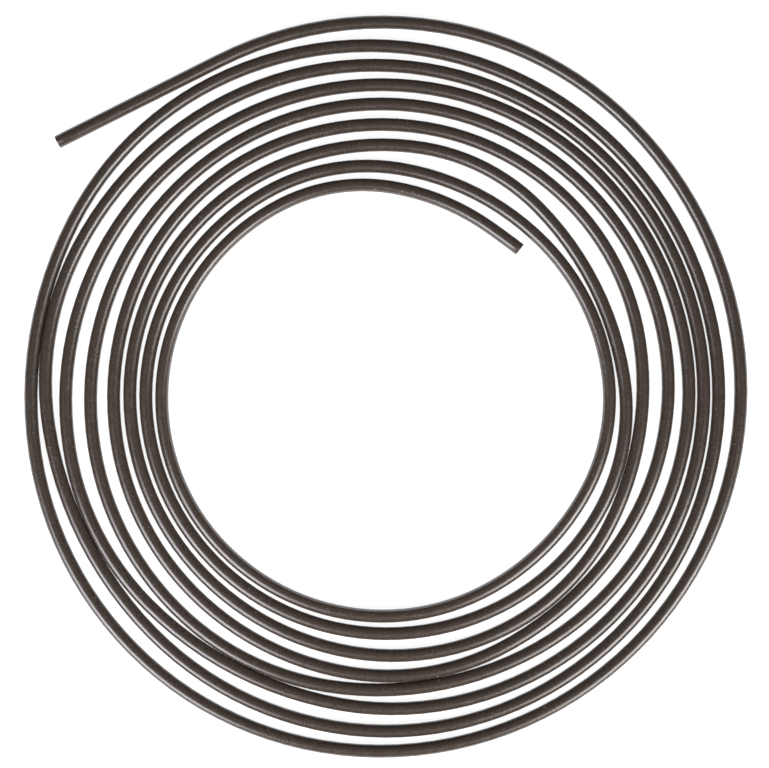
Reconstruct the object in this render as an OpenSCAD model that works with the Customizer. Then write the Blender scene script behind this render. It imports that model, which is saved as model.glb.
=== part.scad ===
// Brake line: one length of plain steel tube, sold as a flat coil and cut square at both ends.
// The coil lies flat on the ground in the XY plane and opens anticlockwise from its inner end.
// The origin is on the ground, in the middle of the coil's outline, and the free outer end
// runs straight along -X at the coil's +Y side.

/* [Tube] */
// Outside diameter of the tube
tube_od = 6.35; // [4:0.05:10]
// Thickness of the tube's wall
tube_wall = 0.71; // [0.5:0.01:1.5]

/* [Ends] */
// Straight length at the free outer end
outer_straight = 87.5; // [20:0.5:150]
// Chamfer round the rim of the free outer end
rim_chamfer = 0.2; // [0.1:0.05:0.4]
// Nearly straight length at the inner end
inner_straight = 18; // [5:1:30]
// How far that length still turns, in degrees
inner_straight_turn = 2; // [1:0.5:4]
// Where the first full bend starts, in degrees round the coil
first_bend_at = 28; // [24:0.5:44]

/* [Coil] */
// Radius of the innermost turn, before its own shape
inner_radius = 100; // [80:1:160]
// How far the innermost turn stands out from that radius at ten points, anticlockwise from +X
inner_shape = [-8, -8, -1, 3.5, 8, 11, 11.5, 10.5, 8.5, 8]; // [-15:0.5:15]

/* [Gaps] */
// Clear space outside turn 1 at the same ten points, as are those that follow
gaps_1 = [5.5, 4, 2.5, 2, 1.5, 1, 1.5, 2.5, 4.5, 2.5]; // [0.1:0.1:12]
// Clear space outside turn 2
gaps_2 = [1, 6.5, 3, 2.5, 1.5, 1.5, 2.5, 4.5, 3, 0.5]; // [0.1:0.1:12]
// Clear space outside turn 3
gaps_3 = [7, 4, 3.5, 3, 1.5, 2.5, 3.5, 3, 0.5, 5.5]; // [0.1:0.1:12]
// Clear space outside turn 4
gaps_4 = [4.5, 3.5, 3.5, 3, 4.5, 5, 4, 0.1, 4, 4]; // [0.1:0.1:12]
// Clear space outside turn 5
gaps_5 = [2.5, 3, 3, 4, 5.5, 4.5, 0.1, 3.5, 3, 1]; // [0.1:0.1:12]
// Clear space outside turn 6
gaps_6 = [1, 1.5, 3.5, 4.5, 4.5, 0.1, 4.5, 4, 2, 1]; // [0.1:0.1:12]
// Clear space outside turn 7
gaps_7 = [1, 2, 3.5, 4, 0.1, 5, 5, 3, 3, 4]; // [0.1:0.1:12]
// Clear space outside turn 8, as far round as the free end
gaps_8 = [5.5, 7, 4, 0.1]; // [0.1:0.1:12]

/* [Hidden] */
$fn = 96;

points_a_turn = 10;
step = 360 / points_a_turn;
gaps = concat(gaps_1, gaps_2, gaps_3, gaps_4, gaps_5, gaps_6, gaps_7, gaps_8);

// The first and the last point that has one on either side. Each of these points has a bend of its own.
first = 1;
last = len(gaps) + points_a_turn - 2;

tube_r = tube_od / 2;
bore_r = tube_r - tube_wall;

// Lengths are kept to a micron, so that the faces where two bends meet are the same face
micron = 0.001;
function to_micron(v) = round(v / micron) * micron;

// Unit vector that points out from the middle of the coil at an angle, and the one along the tube there
function outward(angle) = [cos(angle), sin(angle), 0];
function along(angle) = [-sin(angle), cos(angle), 0];

// Distance from the middle of the coil to the tube's centre line, square to the tube, at a point.
// Each turn lies outside the one before it, a tube and a gap away.
function reach(i) =
    i < points_a_turn
        ? inner_radius + inner_shape[i]
        : reach(i - points_a_turn) + tube_od + gaps[i - points_a_turn];

// How much the bend at a point, and the bends on either side of it, add to the tube's swing there
own_part = 2 * (cos(step / 2) - cos(step));
side_part = 1 - cos(step / 2);
function swing(i) = reach(i - 1) + reach(i + 1) - 2 * cos(step) * reach(i);

// Radii of all the bends, so that the tube passes each point exactly at its reach.
// They start as if each bend had equal neighbours, and a few rounds settle them.
settling_rounds = 12;
function settled(rounds) =
    rounds < 1
        ? [for (i = [first : last]) swing(i) / (own_part + 2 * side_part)]
        : let (before = settled(rounds - 1), most = len(before) - 1) [
            for (k = [0 : most])
                (swing(k + first) - side_part * (before[max(k - 1, 0)] + before[min(k + 1, most)])) / own_part
        ];
radii = [for (r = settled(settling_rounds)) to_micron(r)];
function bend_r(i) = radii[i - first];

// A bend runs half a step to each side of its point, apart from the first
function bend_from(i) = i == first ? first_bend_at : (i - 0.5) * step;
function bend_to(i) = (i + 0.5) * step;

// Centre of each bend. The next one lies on the line through the face where the two meet,
// so that the tube runs smoothly from bend to bend.
first_lean =
    (reach(first + 1) - reach(first - 1) - side_part * (bend_r(first + 1) - bend_r(first))) / (2 * sin(step));
first_centre = (reach(first) - bend_r(first)) * outward(first * step) + first_lean * along(first * step);
function centre(i) =
    i == first
        ? first_centre
        : centre(i - 1) + (bend_r(i - 1) - bend_r(i)) * outward(bend_from(i));

// The nearly straight length at the inner end is a bend of long radius
lead_from = first_bend_at - inner_straight_turn;
lead_r = to_micron(inner_straight * 180 / (PI * inner_straight_turn));
lead_centre = centre(first) + (bend_r(first) - lead_r) * outward(first_bend_at);

// Where the straight outer end starts
straight_at = centre(last) + bend_r(last) * outward(bend_to(last));

// The bends that reach furthest left, down and right, counted in quarter turns back from the free end
function bend_back(quarter_turns) = last - floor(quarter_turns * points_a_turn / 4);
leftmost = bend_back(3);
lowest = bend_back(2);
rightmost = bend_back(1);

// The outline's own middle, from those bends and the free end
left = min(centre(leftmost).x - bend_r(leftmost), straight_at.x - outer_straight + tube_r) - tube_r;
right = centre(rightmost).x + bend_r(rightmost) + tube_r;
bottom = centre(lowest).y - bend_r(lowest) - tube_r;
top = straight_at.y + tube_r;
middle = [(left + right) / 2, (bottom + top) / 2, -tube_r];

// Moves a piece to a place in the coil: first by whole microns, and then by what is left
module at(place) {
    moved = place - middle;
    whole = [for (v = moved) to_micron(v)];
    translate(whole)
        translate(moved - whole)
            children();
}

// The tube cut across: a round wall with an open bore
module tube_section() {
    difference() {
        circle(r = tube_r);
        circle(r = bore_r);
    }
}

// Tube bent round the current origin from one angle to another
module tube_bend(radius, from, to) {
    rotate_extrude(angle = to - from, start = from % 360)
        translate([radius, 0])
            tube_section();
}

// The straight outer end, drawn as half its own outline and turned round the tube's line.
// Both rims of the cut face are chamfered.
module free_end() {
    rotate([0, -90, 0])
        rotate_extrude()
            polygon([
                [bore_r, 0],
                [tube_r, 0],
                [tube_r, outer_straight - rim_chamfer],
                [tube_r - rim_chamfer, outer_straight],
                [bore_r + rim_chamfer, outer_straight],
                [bore_r, outer_straight - rim_chamfer]
            ]);
}

module brake_tube() {
    color([0.22, 0.19, 0.17]) {
        at(lead_centre)
            tube_bend(lead_r, lead_from, first_bend_at);
        for (i = [first : last])
            at(centre(i))
                tube_bend(bend_r(i), bend_from(i), bend_to(i));
        at(straight_at)
            free_end();
    }
}

brake_tube();
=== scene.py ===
"""Brake line: a plain steel tube in a loose flat coil, dressed, lit and seen from straight above.

All places are in metres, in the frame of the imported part.
"""

import math

import bmesh
import bpy
from mathutils import Matrix, Vector


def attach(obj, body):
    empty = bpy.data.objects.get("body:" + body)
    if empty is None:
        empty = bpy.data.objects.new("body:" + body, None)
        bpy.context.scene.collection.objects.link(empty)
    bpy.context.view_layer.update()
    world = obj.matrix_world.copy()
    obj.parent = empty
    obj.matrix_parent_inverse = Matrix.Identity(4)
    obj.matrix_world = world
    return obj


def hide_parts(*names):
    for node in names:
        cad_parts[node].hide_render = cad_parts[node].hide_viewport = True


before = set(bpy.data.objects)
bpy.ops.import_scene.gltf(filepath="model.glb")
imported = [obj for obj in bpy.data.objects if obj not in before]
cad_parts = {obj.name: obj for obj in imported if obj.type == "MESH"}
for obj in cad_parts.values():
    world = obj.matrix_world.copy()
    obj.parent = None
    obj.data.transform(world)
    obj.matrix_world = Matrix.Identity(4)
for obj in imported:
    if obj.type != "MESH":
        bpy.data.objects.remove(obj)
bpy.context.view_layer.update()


# Sizes of the tube and its coil, in millimetres, by the names in the part's own source

TUBE_OD = 6.35
TUBE_WALL = 0.71
OUTER_STRAIGHT = 87.5
RIM_CHAMFER = 0.2
INNER_STRAIGHT = 18
INNER_STRAIGHT_TURN = 2
FIRST_BEND_AT = 28
INNER_RADIUS = 100
INNER_SHAPE = [-8, -8, -1, 3.5, 8, 11, 11.5, 10.5, 8.5, 8]
GAPS = [
    [5.5, 4, 2.5, 2, 1.5, 1, 1.5, 2.5, 4.5, 2.5],
    [1, 6.5, 3, 2.5, 1.5, 1.5, 2.5, 4.5, 3, 0.5],
    [7, 4, 3.5, 3, 1.5, 2.5, 3.5, 3, 0.5, 5.5],
    [4.5, 3.5, 3.5, 3, 4.5, 5, 4, 0.1, 4, 4],
    [2.5, 3, 3, 4, 5.5, 4.5, 0.1, 3.5, 3, 1],
    [1, 1.5, 3.5, 4.5, 4.5, 0.1, 4.5, 4, 2, 1],
    [1, 2, 3.5, 4, 0.1, 5, 5, 3, 3, 4],
    [5.5, 7, 4, 0.1],
]

MM = 0.001
POINTS_A_TURN = 10
STEP = math.tau / POINTS_A_TURN
TUBE_R = TUBE_OD / 2
BORE_R = TUBE_R - TUBE_WALL
SKIN_SIDES = 32
BORE_SIDES = 16
DEGREES_A_STEP = 3
STRAIGHT_STEPS = 12
DEBURRED = 0.08
WELD = 0.001


# The coil's path

def outward(angle):
    return Vector((math.cos(angle), math.sin(angle), 0))


def along(angle):
    return Vector((-math.sin(angle), math.cos(angle), 0))


def bend_radii(reach):
    """Radius of the bend at each point but the two outermost, so that the tube passes each at its reach.

    They start as if each bend had equal neighbours, and a few rounds settle them.
    """
    own_part = 2 * (math.cos(STEP / 2) - math.cos(STEP))
    side_part = 1 - math.cos(STEP / 2)
    swing = [
        reach[i - 1] + reach[i + 1] - 2 * math.cos(STEP) * reach[i] for i in range(1, len(reach) - 1)
    ]
    radii = [part / (own_part + 2 * side_part) for part in swing]
    for _ in range(12):
        before = [radii[0]] + radii + [radii[-1]]
        radii = [
            (part - side_part * (before[k] + before[k + 2])) / own_part for k, part in enumerate(swing)
        ]
    return radii


def coil_bends():
    """The bends from the inner end to the outer one, each with its radius, centre and two angles."""
    reach = [INNER_RADIUS + out for out in INNER_SHAPE]
    for gap in sum(GAPS, []):
        reach.append(reach[-POINTS_A_TURN] + TUBE_OD + gap)
    radii = bend_radii(reach)

    start = math.radians(FIRST_BEND_AT)
    side_part = 1 - math.cos(STEP / 2)
    lean = (reach[2] - reach[0] - side_part * (radii[1] - radii[0])) / (2 * math.sin(STEP))
    centre = (reach[1] - radii[0]) * outward(STEP) + lean * along(STEP)

    lead_turn = math.radians(INNER_STRAIGHT_TURN)
    lead_radius = INNER_STRAIGHT / lead_turn
    lead_centre = centre + (radii[0] - lead_radius) * outward(start)
    bends = [(lead_radius, lead_centre, start - lead_turn, start)]

    for k, radius in enumerate(radii):
        if k:
            centre = centre + (radii[k - 1] - radius) * outward(start)
        stop = (k + 1.5) * STEP
        bends.append((radius, centre, start, stop))
        start = stop
    return bends


def place_at_end(bends):
    """Where the last bend ends and the straight outer end starts."""
    radius, centre, _, stop = bends[-1]
    return centre + radius * outward(stop)


def middle_of_outline(bends):
    """What has to be taken off so that the outline's middle is at the origin, on the ground."""
    tip = place_at_end(bends)
    left = min(bends[-8][1].x - bends[-8][0], tip.x - OUTER_STRAIGHT + TUBE_R) - TUBE_R
    right = bends[-3][1].x + bends[-3][0] + TUBE_R
    bottom = bends[-6][1].y - bends[-6][0] - TUBE_R
    top = tip.y + TUBE_R
    return Vector(((left + right) / 2, (bottom + top) / 2, -TUBE_R))


# The tube

def ring_across(bm, radius, sides, place, angle):
    """A ring of the tube's wall, square to the tube where it passes a place at an angle."""
    across = Matrix((outward(angle), Vector((0, 0, 1)), -along(angle))).transposed()
    stand = Matrix.Translation(place) @ across.to_4x4()
    made = bmesh.ops.create_circle(bm, segments=sides, radius=radius, matrix=stand)
    return list({edge for vert in made["verts"] for edge in vert.link_edges})


def edges_in(geometry):
    return [piece for piece in geometry if isinstance(piece, bmesh.types.BMEdge)]


def add_stretch(bm, stretch):
    """Adds a finished stretch of wall to the whole tube."""
    mesh = bpy.data.meshes.new("stretch")
    stretch.to_mesh(mesh)
    stretch.free()
    bm.from_mesh(mesh)
    bpy.data.meshes.remove(mesh)


def tube_wall(bm, radius, sides, bends):
    """One wall of the tube, turned round bend after bend and drawn out straight at the end.

    Each vertex also keeps its place on the tube before it was bent: how far along, out and up.
    """
    done = 0.0
    for bend_radius, centre, start, stop in bends:
        stretch = bmesh.new()
        unbent = stretch.verts.layers.float_vector.new("unbent")
        place = centre + bend_radius * outward(start)
        ring = ring_across(stretch, radius * MM, sides, place * MM, start)
        steps = max(4, round(math.degrees(stop - start) / DEGREES_A_STEP))
        bmesh.ops.spin(
            stretch, geom=ring, cent=centre * MM, axis=(0, 0, 1), angle=stop - start, steps=steps
        )
        for vert in stretch.verts:
            arm = vert.co / MM - centre
            turned = (math.atan2(arm.y, arm.x) - start + 0.5) % math.tau - 0.5
            out = math.hypot(arm.x, arm.y) - bend_radius
            vert[unbent] = Vector((done + bend_radius * turned, out, arm.z)) * MM
        add_stretch(bm, stretch)
        done += bend_radius * (stop - start)

    stretch = bmesh.new()
    unbent = stretch.verts.layers.float_vector.new("unbent")
    tip = place_at_end(bends)
    ring = ring_across(stretch, radius * MM, sides, tip * MM, bends[-1][3])
    for _ in range(STRAIGHT_STEPS):
        made = bmesh.ops.extrude_edge_only(stretch, edges=ring)
        ring = edges_in(made["geom"])
        verts = list({vert for edge in ring for vert in edge.verts})
        bmesh.ops.translate(stretch, verts=verts, vec=(-OUTER_STRAIGHT / STRAIGHT_STEPS * MM, 0, 0))
    for vert in stretch.verts:
        arm = vert.co / MM - tip
        vert[unbent] = Vector((done - arm.x, arm.y, arm.z)) * MM
    add_stretch(bm, stretch)


def brake_tube():
    """The whole tube: its skin, its bore and the two cut faces, in one closed mesh."""
    bends = coil_bends()
    middle = middle_of_outline(bends)
    bends = [(radius, centre - middle, start, stop) for radius, centre, start, stop in bends]

    bm = bmesh.new()
    unbent = bm.verts.layers.float_vector.new("unbent")
    tube_wall(bm, TUBE_R, SKIN_SIDES, bends)
    tube_wall(bm, BORE_R, BORE_SIDES, bends)
    bmesh.ops.remove_doubles(bm, verts=bm.verts, dist=WELD * MM)

    half_way = max(vert[unbent].x for vert in bm.verts) / 2
    open_edges = [edge for edge in bm.edges if edge.is_boundary]
    inner_rims = [edge for edge in open_edges if edge.verts[0][unbent].x < half_way]
    outer_rims = [edge for edge in open_edges if edge.verts[0][unbent].x > half_way]
    for rims, chamfer in ((inner_rims, DEBURRED), (outer_rims, RIM_CHAMFER)):
        cut_face = bmesh.ops.bridge_loops(bm, edges=rims)["faces"]
        for face in cut_face:
            face.material_index = 1
        made = bmesh.ops.bevel(
            bm, geom=rims, offset=chamfer * MM, segments=2, profile=0.5, affect="EDGES", material=-1
        )
        for face in made["faces"]:
            face.material_index = 1

    bmesh.ops.recalc_face_normals(bm, faces=bm.faces)
    for face in bm.faces:
        face.smooth = face.material_index == 0
    mesh = bpy.data.meshes.new("brake_tube_dressed")
    bm.to_mesh(mesh)
    bm.free()
    tube = bpy.data.objects.new("brake_tube_dressed", mesh)
    bpy.context.scene.collection.objects.link(tube)
    return tube


# Materials

class Nodes:
    """A material's nodes, added and joined by name."""

    def __init__(self, name):
        self.material = bpy.data.materials.new(name)
        self.material.use_nodes = True
        self.tree = self.material.node_tree
        self.tree.nodes.clear()

    def add(self, kind, settings=None, **sockets):
        node = self.tree.nodes.new(kind)
        for name, value in (settings or {}).items():
            setattr(node, name, value)
        for name, value in sockets.items():
            socket = node.inputs[name.replace("_", " ")]
            if isinstance(value, bpy.types.NodeSocket):
                self.tree.links.new(value, socket)
            else:
                socket.default_value = value
        return node

    def link(self, out, into):
        self.tree.links.new(out, into)


def stretched(nodes, place, scale):
    """The unbent tube's own coordinates, with a scale along it and across it."""
    mapping = nodes.add("ShaderNodeMapping", {"vector_type": "POINT"})
    mapping.inputs["Scale"].default_value = scale
    nodes.link(place, mapping.inputs["Vector"])
    return mapping.outputs["Vector"]


def noise(nodes, vector, scale, detail, roughness=0.5):
    node = nodes.add("ShaderNodeTexNoise", Scale=scale, Detail=detail, Roughness=roughness)
    nodes.link(vector, node.inputs["Vector"])
    return node.outputs["Fac"]


def between(nodes, value, low, high, to_low=0.0, to_high=1.0):
    node = nodes.add("ShaderNodeMapRange", {"clamp": True})
    nodes.link(value, node.inputs["Value"])
    node.inputs["From Min"].default_value = low
    node.inputs["From Max"].default_value = high
    node.inputs["To Min"].default_value = to_low
    node.inputs["To Max"].default_value = to_high
    return node.outputs["Result"]


def times(nodes, first, second):
    node = nodes.add("ShaderNodeMath", {"operation": "MULTIPLY"})
    nodes.link(first, node.inputs[0])
    nodes.link(second, node.inputs[1])
    return node.outputs[0]


def blend(nodes, share, first, second):
    """A colour between two, each a colour or a node's output."""
    node = nodes.add("ShaderNodeMix", {"data_type": "RGBA"})
    for value, socket in ((share, node.inputs[0]), (first, node.inputs[6]), (second, node.inputs[7])):
        if isinstance(value, bpy.types.NodeSocket):
            nodes.link(value, socket)
        else:
            socket.default_value = value
    return node.outputs[2]


def tube_coating():
    """Satin brown-black coating on the tube, rippled across it, with faint mottling and pale specks that
    are painted glints.
    """
    nodes = Nodes("tube_coating")
    place = nodes.add("ShaderNodeAttribute", {"attribute_name": "unbent"}).outputs["Vector"]

    mottle = noise(nodes, stretched(nodes, place, (1, 3, 3)), 45, 3)
    warm = blend(nodes, between(nodes, mottle, 0.35, 0.65),
                 (0.058, 0.037, 0.027, 1), (0.049, 0.036, 0.023, 1))
    cloud = noise(nodes, place, 700, 4, 0.6)
    body = blend(nodes, between(nodes, cloud, 0.35, 0.8), warm, (0.078, 0.056, 0.046, 1))
    # Pale specks in the base colour are painted glints. They gather in patches, and the same patches set
    # where the ripples run deeper.
    rubbed_and_glint_patches = between(nodes, noise(nodes, place, 22, 2), 0.45, 0.6)
    painted_glint_noise = noise(nodes, stretched(nodes, place, (1, 0.5, 0.5)), 1300, 2, 0.4)
    painted_glint_mask = times(nodes, between(nodes, painted_glint_noise, 0.66, 0.73, 0.0, 0.8), between(nodes, rubbed_and_glint_patches, 0, 1, 0.3, 1))
    colour = blend(nodes, painted_glint_mask, body, (0.26, 0.23, 0.20, 1))

    gloss = noise(nodes, place, 260, 3)
    rough = between(nodes, gloss, 0.3, 0.7, 0.23, 0.32)

    ripple = noise(nodes, stretched(nodes, place, (1, 0.22, 0.22)), 1100, 2)
    peel = noise(nodes, place, 1600, 3, 0.55)
    height = nodes.add("ShaderNodeMath", {"operation": "MULTIPLY_ADD"})
    nodes.link(peel, height.inputs[0])
    height.inputs[1].default_value = 0.4
    nodes.link(times(nodes, ripple, between(nodes, rubbed_and_glint_patches, 0, 1, 0.7, 2.2)), height.inputs[2])
    bump = nodes.add("ShaderNodeBump", Strength=0.35, Distance=0.00005)
    nodes.link(height.outputs[0], bump.inputs["Height"])

    shader = nodes.add("ShaderNodeBsdfPrincipled", IOR=1.85)
    nodes.link(colour, shader.inputs["Base Color"])
    nodes.link(rough, shader.inputs["Roughness"])
    nodes.link(bump.outputs["Normal"], shader.inputs["Normal"])
    nodes.add("ShaderNodeOutputMaterial", Surface=shader.outputs["BSDF"])
    return nodes.material


def cut_steel():
    """Bare steel on the cut faces, with fine saw lines and a dull tarnish."""
    nodes = Nodes("cut_steel")
    place = nodes.add("ShaderNodeTexCoord").outputs["Object"]
    lines = noise(nodes, stretched(nodes, place, (1, 1, 12)), 900, 3)
    tarnish = noise(nodes, place, 1400, 3)
    colour = blend(nodes, between(nodes, tarnish, 0.35, 0.7), (0.42, 0.40, 0.38, 1), (0.20, 0.17, 0.15, 1))
    bump = nodes.add("ShaderNodeBump", Strength=0.4, Distance=0.00003)
    nodes.link(lines, bump.inputs["Height"])
    shader = nodes.add("ShaderNodeBsdfPrincipled", Metallic=1.0)
    nodes.link(colour, shader.inputs["Base Color"])
    nodes.link(between(nodes, lines, 0.3, 0.7, 0.35, 0.55), shader.inputs["Roughness"])
    nodes.link(bump.outputs["Normal"], shader.inputs["Normal"])
    nodes.add("ShaderNodeOutputMaterial", Surface=shader.outputs["BSDF"])
    return nodes.material


def seen_directly(nodes):
    """1 where the camera looks at it, or sees it in a gloss or through glass."""
    path = nodes.add("ShaderNodeLightPath")
    shown = path.outputs["Is Camera Ray"]
    for name in ("Is Glossy Ray", "Is Transmission Ray"):
        largest = nodes.add("ShaderNodeMath", {"operation": "MAXIMUM"})
        nodes.link(shown, largest.inputs[0])
        nodes.link(path.outputs[name], largest.inputs[1])
        shown = largest.outputs[0]
    return shown


def white_ground():
    """A white ground that keeps the tube's own soft shadow, with painted shade that turns it black where
    two turns all but touch over it.
    """
    nodes = Nodes("white_ground")
    matt = nodes.add("ShaderNodeBsdfDiffuse", Color=(0.6, 0.6, 0.6, 1))
    glow = nodes.add("ShaderNodeEmission", Color=(1, 1, 1, 1))
    # Painted shade: the ground's white glow is dimmed to black where the tube closes in over it, as between
    # touching turns.
    open_sky = nodes.add("ShaderNodeAmbientOcclusion", {"samples": 24}, Distance=TUBE_OD * MM)
    painted_gap_shade_glow = between(nodes, open_sky.outputs["AO"], 0.02, 0.07, 0.0, 0.9)
    nodes.link(times(nodes, seen_directly(nodes), painted_gap_shade_glow), glow.inputs["Strength"])
    both = nodes.add("ShaderNodeAddShader")
    nodes.link(matt.outputs[0], both.inputs[0])
    nodes.link(glow.outputs[0], both.inputs[1])
    nodes.add("ShaderNodeOutputMaterial", Surface=both.outputs[0])
    return nodes.material


# The dressed part

tube = brake_tube()
tube.data.materials.append(tube_coating())
tube.data.materials.append(cut_steel())
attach(tube, "root")
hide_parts("brake_tube")


# Ground

def ground():
    bm = bmesh.new()
    bmesh.ops.create_grid(bm, x_segments=1, y_segments=1, size=4)
    mesh = bpy.data.meshes.new("ground")
    bm.to_mesh(mesh)
    bm.free()
    floor = bpy.data.objects.new("ground", mesh)
    bpy.context.scene.collection.objects.link(floor)
    floor.data.materials.append(white_ground())
    return floor


ground()


# Light: a plain white room and two soft boxes, at the picture's lower left and lower right

ROLL = math.radians(-26.7)
COOL = (0.94, 0.945, 1.0)
WARM = (1.0, 0.985, 0.965)


def in_picture(right, up, height=0.0):
    """A place in metres from the coil's middle, given along the picture's own sides."""
    return Matrix.Rotation(ROLL, 3, "Z") @ Vector((right, up, height))


def soft_box(name, place, aim, size, power, colour, spread):
    """A soft box at a place, looking at another, that dims towards the sides of its spread in degrees."""
    lamp = bpy.data.lights.new(name, "AREA")
    lamp.shape = "RECTANGLE"
    lamp.size, lamp.size_y = size
    lamp.energy = power
    lamp.color = colour
    lamp.spread = math.radians(spread)
    box = bpy.data.objects.new(name, lamp)
    box.location = place
    box.rotation_mode = "QUATERNION"
    box.rotation_quaternion = (place - aim).to_track_quat("Z", "Y")
    bpy.context.scene.collection.objects.link(box)


soft_box(
    "lower_left_box", in_picture(-0.38, -0.38, 0.37), in_picture(-0.04, -0.04),
    (0.46, 0.55), 0.72, COOL, 56
)
soft_box(
    "lower_right_box", in_picture(0.45, -0.45, 0.49), in_picture(-0.06, -0.06),
    (0.5, 0.55), 1.02, WARM, 66
)

world = bpy.data.worlds.new("white_room")
world.use_nodes = True
bpy.context.scene.world = world
sky = world.node_tree.nodes["Background"]
sky.inputs["Color"].default_value = (1, 1, 1, 1)
path = world.node_tree.nodes.new("ShaderNodeLightPath")
lift = world.node_tree.nodes.new("ShaderNodeMapRange")
world.node_tree.links.new(path.outputs["Is Camera Ray"], lift.inputs["Value"])
lift.inputs["To Min"].default_value = 0.105
lift.inputs["To Max"].default_value = 1.0
world.node_tree.links.new(lift.outputs["Result"], sky.inputs["Strength"])


# Camera: straight above, turned as the picture is

HEIGHT = 0.75
ACROSS = 0.3713

camera = bpy.data.objects.new("camera", bpy.data.cameras.new("camera"))
camera.data.sensor_width = 36
camera.data.lens = 36 * HEIGHT / ACROSS
camera.data.clip_start = 0.05
camera.data.clip_end = 20
camera.location = (0.00138, 0.00038, HEIGHT + TUBE_R * MM)
camera.rotation_euler = (0, 0, ROLL)
bpy.context.scene.collection.objects.link(camera)
bpy.context.scene.camera = camera
bpy.context.scene.view_settings.view_transform = "Standard"
